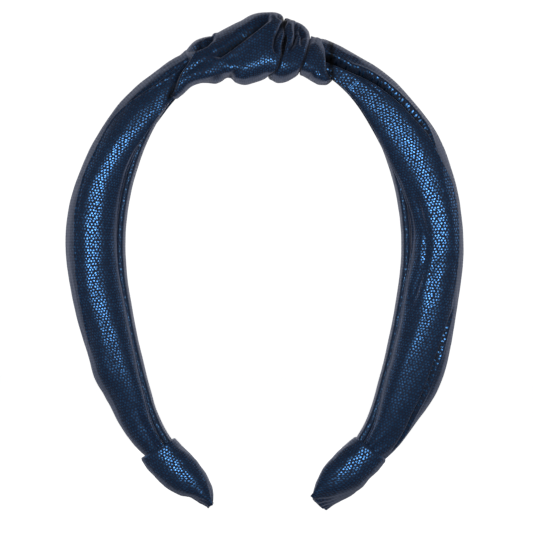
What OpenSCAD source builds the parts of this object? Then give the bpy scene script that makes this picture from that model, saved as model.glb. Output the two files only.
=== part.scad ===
// Knotted headband: a springy plastic core in a fabric sock, a padded fabric sleeve glued on
// each leg, a fabric knot wrapped round the crown, and a sewn fabric cap on each tip.
//
// Millimetres. +Z is up as the band is worn, +X is the wearer's left seen from the front, and -Y is
// the front. The origin is where the crown of the head meets the underside of the knot.
// Along the band, s is the length from the crown, n is the distance outwards from the middle of
// the core, and h is how far the band has turned from level.

/* [Core] */
// Radius of the core's middle line over the crown
crown_r = 43.5; // [36:0.5:53]
// Turn of the crown arc on each side, degrees
crown_turn = 58; // [52:1:62]
// Radius of the core down the side of the head
side_r = 91.5; // [75:0.5:112]
// Turn of the side arc, degrees
side_turn = 40; // [34:1:44]
// Radius of the nearly straight lower leg
lower_r = 301.5; // [240:0.5:365]
// Turn of the lower leg, degrees
lower_turn = 8.5; // [6:0.5:10.5]
// Radius where the leg curls in behind the ear
curl_r = 46.5; // [38:0.5:56]
// Turn of that curl, degrees
curl_turn = 28.5; // [22:0.5:34]
// Straight run at the end of the core
tip_run = 8; // [6:0.5:12]
// Thickness of the plastic core
core_t = 1.8; // [1.4:0.1:2.4]
// Width of the core over the crown, front to back
crown_w = 26; // [20:0.5:27]
// Width of the core at its rounded tips
tip_w = 10; // [8:0.5:12]
// Thickness of the fabric sock round the core
sock_t = 0.6; // [0.4:0.05:0.9]

/* [Sleeves] */
// Height of a sleeve above the band where it leaves the knot
knot_end_h = 8; // [6:0.5:9.5]
// Greatest height of a sleeve, beside the temple
temple_h = 18.3; // [14:0.1:22]
// Height of a sleeve where it enters its cap
cuff_h = 8.3; // [6.5:0.1:10]
// Width of a sleeve where it leaves the knot, front to back
knot_end_w = 31; // [26:0.5:34]
// Greatest width of a sleeve, front to back
temple_w = 38; // [32:0.5:45]
// Width of a sleeve where it enters its cap
cuff_w = 17; // [15:0.5:20]
// Length along the band from the crown to the fullest point
temple_s = 95; // [85:1:110]
// Thickness of the sleeve's fabric with its backing
sleeve_wall = 0.9; // [0.6:0.05:1.2]
// Length of sleeve held inside the cap
tuck_len = 9; // [7:0.5:11]

/* [Knot] */
// Height of the knot above the middle of the core
knot_rise = 14.4; // [12:0.1:17]
// Depth of the knot below the middle of the core
knot_drop = 10.8; // [9.5:0.1:13]
// Greatest width of the knot, front to back
knot_w = 45; // [41:0.5:52]
// Turn from the crown to the knot's end on the wearer's right, degrees
left_end = 44; // [40:0.5:48]
// Turn from the crown to the knot's end on the wearer's left, degrees
right_end = 33; // [30:0.5:38]
// Thickness of one fold of the knot, a few layers of fabric
fold_t = 1.5; // [1.2:0.1:1.8]

/* [Caps] */
// Length of a cap along the band
cap_len = 28; // [23:0.5:34]
// Length of a cap past the end of the core
cap_over = 11; // [9:0.5:14]
// Thickness of the cap's fabric
cap_wall = 0.8; // [0.6:0.05:1]
// Slack of a cap under the band
cap_slack = 1.3; // [1:0.1:1.8]
// Thickness of the flat sewn end
seam_t = 2.6; // [2.2:0.1:3.2]
// Width of the flat sewn end
seam_w = 17; // [14:0.5:20]
// Diameter of the sewing thread
thread_d = 0.5; // [0.3:0.05:0.7]

/* [Flex] */
// How far each leg springs open, degrees
flex_open = 20; // [10:1:22]

/* [Hidden] */

fit = 0.1;            // clearance between pieces that lie against each other
glue = 0.05;          // film of glue between core and sock
flex_gap = 0.35;      // clearance between pieces that turn on each other
loop_n = 24;          // points round a soft section, a multiple of 8 so that corners are met

navy = [0.07, 0.13, 0.26];
navy_dark = [0.05, 0.09, 0.19];
plastic = [0.12, 0.12, 0.13];
sponge = [0.75, 0.75, 0.72];
thread = [0.04, 0.07, 0.16];

arcs = [
    [crown_r, crown_turn],
    [side_r, side_turn],
    [lower_r, lower_turn],
    [curl_r, curl_turn],
];
band_half = core_t / 2 + glue + sock_t;   // half the thickness of core and sock
pin_r = core_t / 2 - 0.05;                // radius of the core's rolled edge at a flex line
core_end = run_to(len(arcs)) + tip_run;   // length from the crown to the core's end
cap_start = core_end + cap_over - cap_len;
tuck_end = cap_start + tuck_len;

// ---- the band's path ----

function arc_len(i) = arcs[i][0] * arcs[i][1] * PI / 180;
function run_to(i) = i == 0 ? 0 : run_to(i - 1) + arc_len(i - 1);
function turn_to(i) = i == 0 ? 0 : turn_to(i - 1) + arcs[i - 1][1];
function hinge_s(turn) = crown_r * turn * PI / 180;

// [x, z, h] of the core's middle, a length s from the crown
function path(s, i = 0, x = 0, z = knot_drop, h = 0) =
    i == len(arcs) ? [x + s * cos(h), z - s * sin(h), h] :
    let (
        r = arcs[i][0],
        step = min(s, arc_len(i)),
        h2 = h + step / r * 180 / PI,
        x2 = x + r * (sin(h2) - sin(h)),
        z2 = z - r * (cos(h) - cos(h2))
    )
    s <= arc_len(i) ? [x2, z2, h2] : path(s - arc_len(i), i + 1, x2, z2, h2);

// The point at length s, depth y and distance n, on a section that leans back by lean degrees
function place(s, y, n, lean = 0) =
    let (p = path(s))
    [p[0] + n * sin(p[2] + lean), y, p[1] + n * cos(p[2] + lean)];

// ---- soft sections: loops of [y, n] ----

loop_angles = [for (j = [0:loop_n - 1]) j * 360 / loop_n];

function power(v, e) = sign(v) * pow(abs(v), e);

// A rounded outline: squareness 1 is an ellipse, and less is squarer
function soft_loop(half_w, low, high, squareness = 0.8, angles = loop_angles) = [
    for (a = angles) [
        half_w * power(cos(a), squareness),
        (high + low) / 2 + (high - low) / 2 * power(sin(a), squareness),
    ]
];

// A rectangle met at the same angles, so that it can pair with a rounded loop
function box_loop(half_w, half_h) = [
    for (j = [0:loop_n - 1])
        let (a = j * 360 / loop_n, m = max(abs(cos(a)), abs(sin(a))))
        [half_w * cos(a) / m, half_h * sin(a) / m]
];

function on_band(loop, s, lean = 0) = [for (p = loop) place(s, p[0], p[1], lean)];

// ---- meshes from rings of points ----

function rows_of(rings) = [for (r = rings) each r];

// Triangles between rows of cols points that start at base
function skin(rows, cols, base, flip, closed = true) = [
    for (i = [0:rows - 2], j = [0:cols - (closed ? 1 : 2)])
        let (
            a = base + i * cols + j,
            b = base + i * cols + (j + 1) % cols,
            c = a + cols,
            d = b + cols
        )
        each flip ? [[a, c, b], [b, c, d]] : [[a, b, c], [b, d, c]]
];

// Triangles between two lines of points of the same count
function seam(first, second, closed = true) =
    let (count = len(first))
    [
        for (j = [0:count - (closed ? 1 : 2)])
            let (k = (j + 1) % count)
            each [[first[j], second[j], first[k]], [first[k], second[j], second[k]]]
    ];

function row(base, i, cols) = [for (j = [0:cols - 1]) base + i * cols + j];
function column(base, j, rows, cols) = [for (i = [0:rows - 1]) base + i * cols + j];
function backwards(list) = [for (i = [len(list) - 1:-1:0]) list[i]];

// A closed solid through rings
module solid_through(rings) {
    rows = len(rings);
    polyhedron(rows_of(rings), concat(
        skin(rows, loop_n, 0, true),
        [row(0, 0, loop_n), backwards(row(0, rows - 1, loop_n))]
    ));
}

// A tube wall between outer and inner rings, open at both ends
module tube_between(outer, inner) {
    rows = len(outer);
    base = rows * loop_n;
    polyhedron(rows_of(concat(outer, inner)), concat(
        skin(rows, loop_n, 0, true),
        skin(rows, loop_n, base, false),
        seam(row(base, 0, loop_n), row(0, 0, loop_n)),
        seam(row(0, rows - 1, loop_n), row(base, rows - 1, loop_n))
    ));
}

// A pocket: outer rings closed at the far end, and inner rings that stop short of it
module pocket_between(outer, inner) {
    base = len(outer) * loop_n;
    polyhedron(rows_of(concat(outer, inner)), concat(
        skin(len(outer), loop_n, 0, true),
        skin(len(inner), loop_n, base, false),
        seam(row(base, 0, loop_n), row(0, 0, loop_n)),
        [
            backwards(row(0, len(outer) - 1, loop_n)),
            row(base, len(inner) - 1, loop_n),
        ]
    ));
}

// A curved slab between two open sheets with the same rows and columns
module slab_between(outer, inner) {
    rows = len(outer);
    cols = len(outer[0]);
    base = rows * cols;
    polyhedron(rows_of(concat(outer, inner)), concat(
        skin(rows, cols, 0, true, false),
        skin(rows, cols, base, false, false),
        seam(row(base, 0, cols), row(0, 0, cols), false),
        seam(row(0, rows - 1, cols), row(base, rows - 1, cols), false),
        seam(column(0, 0, rows, cols), column(base, 0, rows, cols), false),
        seam(column(base, cols - 1, rows, cols), column(0, cols - 1, rows, cols), false)
    ));
}

// ---- the flat band: core and sock ----

outline_step = 2.4;   // all the band's outlines turn at the same lengths

// The band's edge-on outline between lengths s0 and s1, on the +X side
module band_outline(half_t, s0, s1) {
    first = floor(s0 / outline_step) + 1;
    last = ceil(s1 / outline_step) - 1;
    lengths = concat([s0], [for (i = [first:last]) i * outline_step], [s1]);
    polygon([
        for (side = [1, -1], s = side > 0 ? lengths : backwards(lengths))
            let (p = place(s, 0, side * half_t))
            [p[0], p[2]]
    ]);
}

// The band's side-on outline, which narrows down the leg to a rounded tip
module side_outline(extra) {
    top = knot_drop + crown_r;
    tip = path(core_end)[1] + tip_w / 2;
    shoulder = path(run_to(1))[1];
    half = crown_w / 2 + extra;
    polygon([
        [-half, top], [-half, shoulder], [-tip_w / 2 - extra, tip],
        [tip_w / 2 + extra, tip], [half, shoulder], [half, top],
    ]);
    translate([0, tip])
        circle(tip_w / 2 + extra, $fn = 48);
}

module band_between(half_t, extra, s0, s1) {
    intersection() {
        rotate([90, 0, 0])
            linear_extrude(crown_w + 4 * extra + 2, center = true)
                band_outline(half_t, s0, s1);
        rotate([90, 0, 90])
            linear_extrude(4 * crown_r, center = true)
                side_outline(extra);
    }
}

// A cylinder on the line where a leg flexes
module flex_line(turn, r, width) {
    p = path(hinge_s(turn));
    translate([p[0], 0, p[1]])
        rotate([90, 0, 0])
            cylinder(r = r, h = width, center = true, $fn = 48);
}

module core_leg(turn) {
    color(plastic) {
        band_between(core_t / 2, 0, hinge_s(turn), core_end);
        flex_line(turn, pin_r, crown_w);
    }
}

module core_crown() {
    color(plastic)
        difference() {
            union() {
                band_between(core_t / 2, 0, 0, hinge_s(right_end));
                mirror([1, 0, 0])
                    band_between(core_t / 2, 0, 0, hinge_s(left_end));
            }
            flex_line(right_end, pin_r + fit, crown_w + 2);
            mirror([1, 0, 0])
                flex_line(left_end, pin_r + fit, crown_w + 2);
        }
}

// The sock starts far enough from the flex line to let the leg spring open
module sock_leg(turn) {
    start = hinge_s(turn) + band_half * tan(flex_open) + flex_gap;
    color(navy)
        difference() {
            band_between(band_half, glue + sock_t, start, core_end + glue + sock_t);
            band_between(core_t / 2 + glue, glue, start - 1, core_end + glue);
        }
}

module sock_crown() {
    right = hinge_s(right_end) - flex_gap;
    left = hinge_s(left_end) - flex_gap;
    color(navy)
        difference() {
            union() {
                band_between(band_half, glue + sock_t, 0, right);
                mirror([1, 0, 0])
                    band_between(band_half, glue + sock_t, 0, left);
            }
            band_between(core_t / 2 + glue, glue, 0, right + 1);
            mirror([1, 0, 0])
                band_between(core_t / 2 + glue, glue, 0, left + 1);
        }
}

// ---- sleeves and their foam ----

// A size that swells from the knot to the temple and shrinks to the cap
function swell(s, s0, knot_end, temple, cuff) =
    s < temple_s
        ? knot_end + (temple - knot_end) * sin(90 * max(0, s - s0) / (temple_s - s0))
        : temple + (cuff - temple) * pow(min(1, (s - temple_s) / (cap_start - temple_s)), 3);

// Inside the cap the sleeve is pressed down
function pressed(s) = 1 - 0.4 * max(0, s - cap_start) / tuck_len;

function sleeve_h(s, s0) = swell(s, s0, knot_end_h, temple_h, cuff_h) * pressed(s);
function sleeve_w(s, s0) = swell(s, s0, knot_end_w, temple_w, cuff_w) * pressed(s);

lean_run = 9;         // length over which the sleeve's slanted end straightens
lean_spare = 1.5;     // turn kept between sleeve and knot when the leg is open

function end_lean(s, s0) = (flex_open + lean_spare) * max(0, 1 - (s - s0) / lean_run);

// Lengths at which a sleeve has rings: close together at its slanted end
function sleeve_stations(s0, s1) = concat(
    [for (k = [0:5]) s0 + lean_run * k / 6],
    [for (k = [0:24]) s0 + lean_run + (s1 - s0 - lean_run) * k / 24]
);

function sleeve_rings(s0, inset, from_s, to_s) = [
    for (s = sleeve_stations(from_s, to_s))
        on_band(
            soft_loop(
                sleeve_w(s, s0) / 2 - inset,
                band_half + fit + inset,
                band_half + fit + sleeve_h(s, s0) - inset
            ),
            s, end_lean(s, from_s)
        )
];

module sleeve(turn) {
    s0 = hinge_s(turn) + flex_gap;
    color(navy)
        tube_between(
            sleeve_rings(s0, 0, s0, tuck_end),
            sleeve_rings(s0, sleeve_wall, s0, tuck_end)
        );
}

// The foam fills the sleeve but stops short of the cap
module foam(turn) {
    s0 = hinge_s(turn) + flex_gap;
    color(sponge)
        solid_through(
            sleeve_rings(s0, sleeve_wall + 2 * fit, s0 + sleeve_wall, cap_start - sleeve_wall)
        );
}

// ---- knot ----

knot_taper_h = 9;                            // height of the knot's ends over the core's middle
knot_taper_drop = band_half + 2.9;           // depth of the knot's ends below it
knot_taper_w = crown_w + 2 * sock_t + 10.8;  // width of the knot's ends
pass_gap = 0.3;                              // turn left between neighbouring folds, degrees

function bulge(turn, middle, spread) = exp(-pow((turn - middle) / spread, 2));

// A point of the knot at an angle round its section, inset below the surface
function knot_point(turn, angle, inset) =
    let (
        high = knot_taper_h + (knot_rise - knot_taper_h) * bulge(turn, 3, 12),
        low = -knot_taper_drop - (knot_drop - knot_taper_drop) * bulge(turn, -4, 20),
        half_w = knot_taper_w / 2 + (knot_w - knot_taper_w) / 2 * bulge(turn, -3, 24)
    )
    soft_loop(half_w - inset, low + inset, high - inset, 0.65, [angle])[0];

// Knot points are placed by turn, so that the left side needs no mirror
function at_turn(turn, y, n) = [
    (crown_r + n) * sin(turn), y, knot_drop - crown_r + (crown_r + n) * cos(turn)
];

// The slant turns the front of the ring against the back
function knot_ring(turn, inset, slant = 0, angles = loop_angles) = [
    for (a = angles)
        let (there = turn + slant * cos(a) / 2, p = knot_point(there, a, inset))
        at_turn(there, p[0], p[1])
];

// Each fold is plump in the middle and dips at its edges
function dip(t) = edge_dip * (1 - sqrt(sin(180 * t)));

function fold_rings(turns, slants, angles, inside = false) = [
    for (i = [0:fold_steps])
        let (t = i / fold_steps)
        knot_ring(
            turns[0] + (turns[1] - turns[0]) * t,
            inside ? fold_t : dip(t),
            slants[0] + (slants[1] - slants[0]) * t,
            angles
        )
];

// A fold that goes right round the band. The slants turn its ends, front against back
module wrap(turns, slants) {
    tube_between(
        fold_rings(turns, slants, loop_angles),
        fold_rings(turns, slants, loop_angles, true)
    );
}

// A fold that covers the stretch of each knot section between two angles
module half_pass(turns, slants, from_angle, to_angle) {
    angles = [for (j = [0:half_points]) from_angle + (to_angle - from_angle) * j / half_points];
    slab_between(
        fold_rings(turns, slants, angles),
        fold_rings(turns, slants, angles, true)
    );
}

edge_dip = 0.7;       // depth of the dip at the edges of a fold
fold_steps = 12;      // rings along each fold
half_points = 14;     // points across a long pass
tuck_turn = -31;      // turn between the left tuck and the long passes
centre_turn = 8;      // turn between the long passes and the centre wrap
collar_turn = 20;     // turn between the centre wrap and the collar
pass_slant = 12;      // slant of the folds, front against back, degrees
crest_angle = 76;     // angle round the section where the front pass laps the crest
seam_angle = 272;     // angle at the underside, where the passes are sewn together
lap = 0.6;            // half the angle left between the passes

module knot_left_tuck() {
    color(navy)
        wrap([-left_end + pass_gap, tuck_turn], [0, pass_slant]);
}

module knot_front_pass() {
    color(navy)
        half_pass(
            [tuck_turn + pass_gap, centre_turn], [pass_slant, -pass_slant],
            crest_angle + lap, seam_angle - lap
        );
}

module knot_back_pass() {
    color(navy_dark)
        half_pass(
            [tuck_turn + pass_gap, centre_turn], [pass_slant, -pass_slant],
            seam_angle + lap, crest_angle + 360 - lap
        );
}

module knot_centre_wrap() {
    color(navy)
        wrap([centre_turn + pass_gap, collar_turn], [-pass_slant, 0]);
}

module knot_right_collar() {
    color(navy)
        wrap([collar_turn + pass_gap, right_end - pass_gap], [0, 0]);
}

filling_start = -27;  // turns between which the knot is stuffed
filling_end = 22;

module knot_filling() {
    steps = 24;
    turns = [for (i = [0:steps]) filling_start + (filling_end - filling_start) * i / steps];
    slot = box_loop(crown_w / 2 + glue + sock_t + fit, band_half + fit);
    color(sponge)
        tube_between(
            [for (t = turns) knot_ring(t, fold_t + 2 * fit)],
            [for (t = turns) [for (p = slot) at_turn(t, p[0], p[1])]]
        );
}

stitch_count = 7;     // stitches that close the knot underneath
stitch_step = 4;      // turn between them, degrees
stitch_r = 1.1;       // radius of one loop of thread

// A loop of thread round a seam
module stitch_loop() {
    rotate_extrude($fn = 32)
        translate([stitch_r, 0])
            circle(d = thread_d, $fn = 16);
}

// Each loop stands across the seam between front and back pass
module knot_stitches() {
    middle = (tuck_turn + centre_turn) / 2;
    color(thread)
        for (i = [0:stitch_count - 1]) {
            turn = middle + (i - (stitch_count - 1) / 2) * stitch_step;
            p = knot_point(turn, seam_angle, 0);
            translate(at_turn(turn, p[0], p[1]))
                rotate([0, turn + 90, 0])
                    stitch_loop();
        }
}

// ---- caps ----

// Share of its opening size that a cap keeps, a share t of the way to its sewn end
function cap_keep(t) = 1 - pow(t, 3.5);

function cap_ring(s, inset) =
    let (
        keep = cap_keep((s - cap_start) / cap_len),
        open_low = -band_half - cap_slack - cap_wall,
        open_high = band_half + cuff_h + 3 * fit + cap_wall,
        open_w = max(cuff_w, tip_w) + 4 * cap_wall,
        end_mid = band_half + seam_t / 4,
        low = end_mid - seam_t / 2 + (open_low - end_mid + seam_t / 2) * keep,
        high = end_mid + seam_t / 2 + (open_high - end_mid - seam_t / 2) * keep,
        half_w = (seam_w + (open_w - seam_w) * keep) / 2
    )
    on_band(soft_loop(half_w - inset, low + inset, high - inset, 0.75), s);

module cap() {
    steps = 18;
    inner_end = cap_len - 3 * seam_t / 2;
    color(navy)
        pocket_between(
            [for (i = [0:steps]) cap_ring(cap_start + cap_len * i / steps, 0)],
            [for (i = [0:steps]) cap_ring(cap_start + inner_end * i / steps, cap_wall)]
        );
}

cap_stitch_count = 4; // stitches across a cap's sewn end

module cap_stitches() {
    s = cap_start + cap_len - stitch_r / 2;
    color(thread)
        for (i = [0:cap_stitch_count - 1]) {
            y = (i - (cap_stitch_count - 1) / 2) * (seam_w - 4 * thread_d) / cap_stitch_count;
            translate(place(s, y, band_half + seam_t / 4))
                rotate([90, 0, 0])
                    stitch_loop();
        }
}

// ---- assembly: the left side is the mirror image, with its own flex line ----

module on_left() {
    mirror([1, 0, 0])
        children();
}

core_crown();
on_left() core_leg(left_end);  // core_left
core_leg(right_end);  // core_right
sock_crown();
on_left() sock_leg(left_end);  // sock_left
sock_leg(right_end);  // sock_right
on_left() foam(left_end);  // foam_left
foam(right_end);  // foam_right
on_left() sleeve(left_end);  // sleeve_left
sleeve(right_end);  // sleeve_right
knot_filling();
knot_left_tuck();
knot_front_pass();
knot_back_pass();
knot_centre_wrap();
knot_right_collar();
knot_stitches();
on_left() cap();  // cap_left
cap();  // cap_right
on_left() cap_stitches();  // cap_stitches_left
cap_stitches();  // cap_stitches_right
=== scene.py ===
import math

import bpy
import numpy as np
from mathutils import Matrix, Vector, noise


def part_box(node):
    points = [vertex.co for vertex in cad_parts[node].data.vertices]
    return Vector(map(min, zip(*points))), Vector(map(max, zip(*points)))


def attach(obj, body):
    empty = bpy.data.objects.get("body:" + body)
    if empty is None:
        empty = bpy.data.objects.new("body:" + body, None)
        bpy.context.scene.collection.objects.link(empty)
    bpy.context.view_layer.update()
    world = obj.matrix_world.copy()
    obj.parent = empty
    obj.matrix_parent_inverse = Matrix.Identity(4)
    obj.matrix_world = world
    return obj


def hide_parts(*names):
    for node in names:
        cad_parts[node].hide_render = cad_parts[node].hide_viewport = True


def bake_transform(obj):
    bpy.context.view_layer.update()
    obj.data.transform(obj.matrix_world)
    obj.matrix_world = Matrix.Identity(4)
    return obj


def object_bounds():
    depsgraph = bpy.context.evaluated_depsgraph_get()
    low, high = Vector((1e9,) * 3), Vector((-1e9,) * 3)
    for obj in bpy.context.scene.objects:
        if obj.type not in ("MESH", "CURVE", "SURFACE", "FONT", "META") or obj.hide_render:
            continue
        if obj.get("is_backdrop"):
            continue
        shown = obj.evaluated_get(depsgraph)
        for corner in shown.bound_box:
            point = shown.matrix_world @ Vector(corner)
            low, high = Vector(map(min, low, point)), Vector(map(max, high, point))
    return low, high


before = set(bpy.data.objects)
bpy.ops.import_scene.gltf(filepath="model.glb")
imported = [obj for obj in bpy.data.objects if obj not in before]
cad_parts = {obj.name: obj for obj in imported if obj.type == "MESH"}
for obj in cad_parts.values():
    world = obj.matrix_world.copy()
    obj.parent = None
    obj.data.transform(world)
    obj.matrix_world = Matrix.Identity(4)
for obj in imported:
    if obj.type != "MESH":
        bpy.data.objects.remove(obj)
cad_low, cad_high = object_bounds()

# ---- Studio ----
# The band stands on its tips on a pale table, level with the camera. A soft lamp hangs in
# front, a broad one behind, one at each side and one below, which fill the cloth's edges.

MM = 0.001
CAMERA_AWAY = 3.0
VIEW_WIDE = 0.1892               # width seen at the band
SENSOR_WIDE = 36
aim = (cad_low + cad_high) / 2 + Vector((1.1, 0, -2.8)) * MM


def placed(name, data):
    """A new object, linked to the scene."""
    thing = bpy.data.objects.new(name, data)
    bpy.context.scene.collection.objects.link(thing)
    return thing


camera = placed("camera", bpy.data.cameras.new("camera"))
camera.data.sensor_width = SENSOR_WIDE
camera.data.lens = SENSOR_WIDE * CAMERA_AWAY / VIEW_WIDE
camera.location = (aim.x, -CAMERA_AWAY, aim.z)
camera.rotation_euler = (math.radians(90), 0, 0)
bpy.context.scene.camera = camera
bpy.context.scene.view_settings.view_transform = "Standard"


def soft_lamp(name, place, size, power, colour=(1.0, 1.0, 1.0)):
    """A square softbox that faces the band."""
    lamp = bpy.data.lights.new(name, "AREA")
    lamp.shape = "SQUARE"
    lamp.size = size
    lamp.energy = power
    lamp.color = colour
    holder = placed(name, lamp)
    holder.location = place
    holder.rotation_euler = (aim - Vector(place)).to_track_quat("-Z", "Y").to_euler()
    holder.visible_camera = False


soft_lamp("key", (0.0, -0.80, aim.z + 0.03), 0.30, 2.8, (0.97, 0.99, 1.0))
soft_lamp("back", (0, 1.1, aim.z + 0.25), 1.1, 2.4)
soft_lamp("under", (0, -0.25, aim.z - 0.9), 0.8, 1.1)
soft_lamp("left", (-1.2, 0.35, aim.z + 0.25), 0.9, 2.2)
soft_lamp("right", (1.2, 0.35, aim.z + 0.25), 0.9, 2.2)


def feed(tree, node, values):
    """Links or sets a node's inputs, given in order or by name."""
    pairs = values.items() if isinstance(values, dict) else enumerate(values)
    for key, value in pairs:
        if isinstance(value, bpy.types.NodeSocket):
            tree.links.new(value, node.inputs[key])
        else:
            node.inputs[key].default_value = value


def made(tree, kind, values=(), output=0, **settings):
    """One output of a new shader node that has these settings and inputs."""
    node = tree.nodes.new("ShaderNode" + kind)
    for key, value in settings.items():
        setattr(node, key, value)
    feed(tree, node, values)
    return node.outputs[output] if node.outputs else None


def principled(name):
    """A new material, with its node tree and its Principled shader."""
    material = bpy.data.materials.new(name)
    material.use_nodes = True
    return material, material.node_tree, material.node_tree.nodes["Principled BSDF"]


world = bpy.data.worlds.new("studio")
bpy.context.scene.world = world
world.use_nodes = True
sky = world.node_tree
sky.nodes.clear()
room = made(sky, "Background", {"Color": (0.93, 0.96, 1.0, 1), "Strength": 0.045})
backdrop = made(sky, "Background", {"Color": (1, 1, 1, 1), "Strength": 1.05})
seen = made(sky, "LightPath", output="Is Camera Ray")
made(sky, "OutputWorld", {"Surface": made(sky, "MixShader", (seen, room, backdrop))})

TABLE_R = 4.0
TABLE_SIDES = 64
table_z = cad_low.z - 4.5 * MM
table_mesh = bpy.data.meshes.new("table")
table_mesh.from_pydata(
    [(TABLE_R * math.cos(a), TABLE_R * math.sin(a), table_z)
     for a in (math.tau * k / TABLE_SIDES for k in range(TABLE_SIDES))],
    [], [list(range(TABLE_SIDES))],
)
table_top, wood, paint = principled("table_top")
seen = made(wood, "LightPath", output="Is Camera Ray")
feed(wood, paint, {
    "Base Color": (0.5, 0.51, 0.52, 1),
    "Roughness": 0.9,
    "Emission Color": (1, 1, 1, 1),
    "Emission Strength": made(wood, "Math", (seen, 0.98), operation="MULTIPLY"),
})
table_mesh.materials.append(table_top)
placed("table", table_mesh)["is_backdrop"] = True

# ---- Springy core ----
# One strip of hard black plastic, moulded in a curve that springs back. It lies wholly inside
# its fabric cover, and its three CAD solids stay, with a moulded plastic on them.

CORE_ARCS = ((43.5, 58.0), (91.5, 40.0), (301.5, 8.5), (46.5, 28.5))   # radius mm, turn degrees
CORE_END = 183.8                 # length from the crown to a tip
CORE_T = 1.8
CROWN_R, CROWN_TURN = CORE_ARCS[0]
crown_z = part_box("core_crown")[1].z / MM - CORE_T / 2
knot_centre_z = crown_z - CROWN_R


def core_line():
    """The core's middle from the crown down one leg: lengths, x, z and turn from level."""
    x, z, h = 0.0, crown_z, 0.0
    found = [(0.0, x, z, h)]
    step, straight = 0.25, 80
    run = 0.0
    for radius, turn in CORE_ARCS + ((math.inf, 0),):
        arc = radius * math.radians(turn) if turn else straight
        count = max(1, round(arc / step))
        for _ in range(count):
            d = arc / count
            bend = d / radius
            h += bend / 2
            x += d * math.cos(h)
            z -= d * math.sin(h)
            h += bend / 2
            run += d
            found.append((run, x, z, h))
    return np.array(found).T


line_s, line_x, line_z, line_h = core_line()


def on_band(side, s, y, n):
    """Points at length s from the crown, depth y and distance n outwards from the core."""
    s, y, n = np.broadcast_arrays(np.asarray(s, float), y, n)
    run = np.abs(s)
    h = np.interp(run, line_s, line_h)
    x = np.interp(run, line_s, line_x) + n * np.sin(h)
    z = np.interp(run, line_s, line_z) + n * np.cos(h)
    return np.stack([side * np.sign(s + 1e-9) * x, y, z], -1)


core_plastic, plastic, shell = principled("core_plastic")
grain = made(plastic, "TexNoise", {"Scale": 900, "Detail": 4}, "Fac", noise_dimensions="3D")
feed(plastic, shell, {
    "Base Color": (0.012, 0.013, 0.015, 1),
    "IOR": 1.49,
    "Roughness": made(plastic, "MapRange", (grain, 0.3, 0.7, 0.34, 0.52)),
    "Normal": made(plastic, "Bump", {"Strength": 0.25, "Distance": 0.00008, "Height": grain}),
})
for name in ("core_crown", "core_left", "core_right"):
    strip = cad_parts[name]
    strip.data.materials.clear()
    strip.data.materials.append(core_plastic)

# ---- Fabric cover of the core ----
# The same navy cloth with printed foil dots, cut as a strip, folded round the plastic and lapped
# along the middle of its inner face. It shows as a thin line along the inside of both legs.


def lengths_along(points):
    """The running length of a line of points."""
    steps = np.linalg.norm(np.diff(points, axis=0), axis=1)
    return np.concatenate([[0], np.cumsum(steps)])


def cloth_piece(name, grid, cloth, material, round_rows=False, round_cols=True, painted_shade=None):
    """A mesh from a grid of points in mm. cloth says where each point lies on the flat fabric, in
    mm, with a last row or column of its own where the grid closes on itself. The last argument is
    painted shade: 1 where a fold or a shadowed edge is drawn darkest."""
    rows, cols = grid.shape[:2]
    i = np.arange(rows if round_rows else rows - 1)[:, None]
    j = np.arange(cols if round_cols else cols - 1)[None, :]
    i2, j2 = i + 1, j + 1
    corners = [(i, j), (i, j2), (i2, j2), (i2, j)]
    faces = np.stack([(a % rows) * cols + (b % cols) + 0 * i + 0 * j for a, b in corners], -1)
    spots = np.stack([cloth[a + 0 * j, b + 0 * i] for a, b in corners], -2)
    faces, spots = faces.reshape(-1, 4), spots.reshape(-1, 4, 2)
    points = grid.reshape(-1, 3)
    a, b, c, d = (points[faces[:, k]] for k in range(4))
    inward = (np.cross(b - a, c - a) * a).sum() + (np.cross(c - a, d - a) * a).sum() < 0
    if inward:
        faces, spots = faces[:, ::-1], spots[:, ::-1]
    polygons = faces.tolist()
    places = spots.reshape(-1, 2)
    ends = []
    if round_cols and not round_rows:
        ends = [(np.arange(cols), cloth[0, :cols]),
                ((rows - 1) * cols + np.arange(cols), cloth[-1, :cols])]
    if round_rows and not round_cols:
        ends = [(np.arange(rows) * cols, cloth[:rows, 0]),
                (np.arange(rows) * cols + cols - 1, cloth[:rows, -1])]
    for k, (ring, spot) in enumerate(ends):
        if (k == 0) != (inward != round_rows):
            ring, spot = ring[::-1], spot[::-1]
        polygons.append(ring.tolist())
        places = np.concatenate([places, spot])
    mesh = bpy.data.meshes.new(name)
    mesh.from_pydata((points * MM).tolist(), [], polygons)
    layer = mesh.uv_layers.new(name="cloth")
    layer.uv.foreach_set("vector", places.astype(np.float32).ravel())
    # Painted shade, 1 where a fold or a shadowed edge is drawn darkest.
    if painted_shade is not None:
        folded = mesh.attributes.new("painted_shade", "FLOAT", "POINT")
        folded.data.foreach_set("value", np.clip(painted_shade, 0, 1).astype(np.float32).ravel())
    mesh.shade_smooth()
    mesh.materials.append(material)
    return placed(name, mesh)


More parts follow.
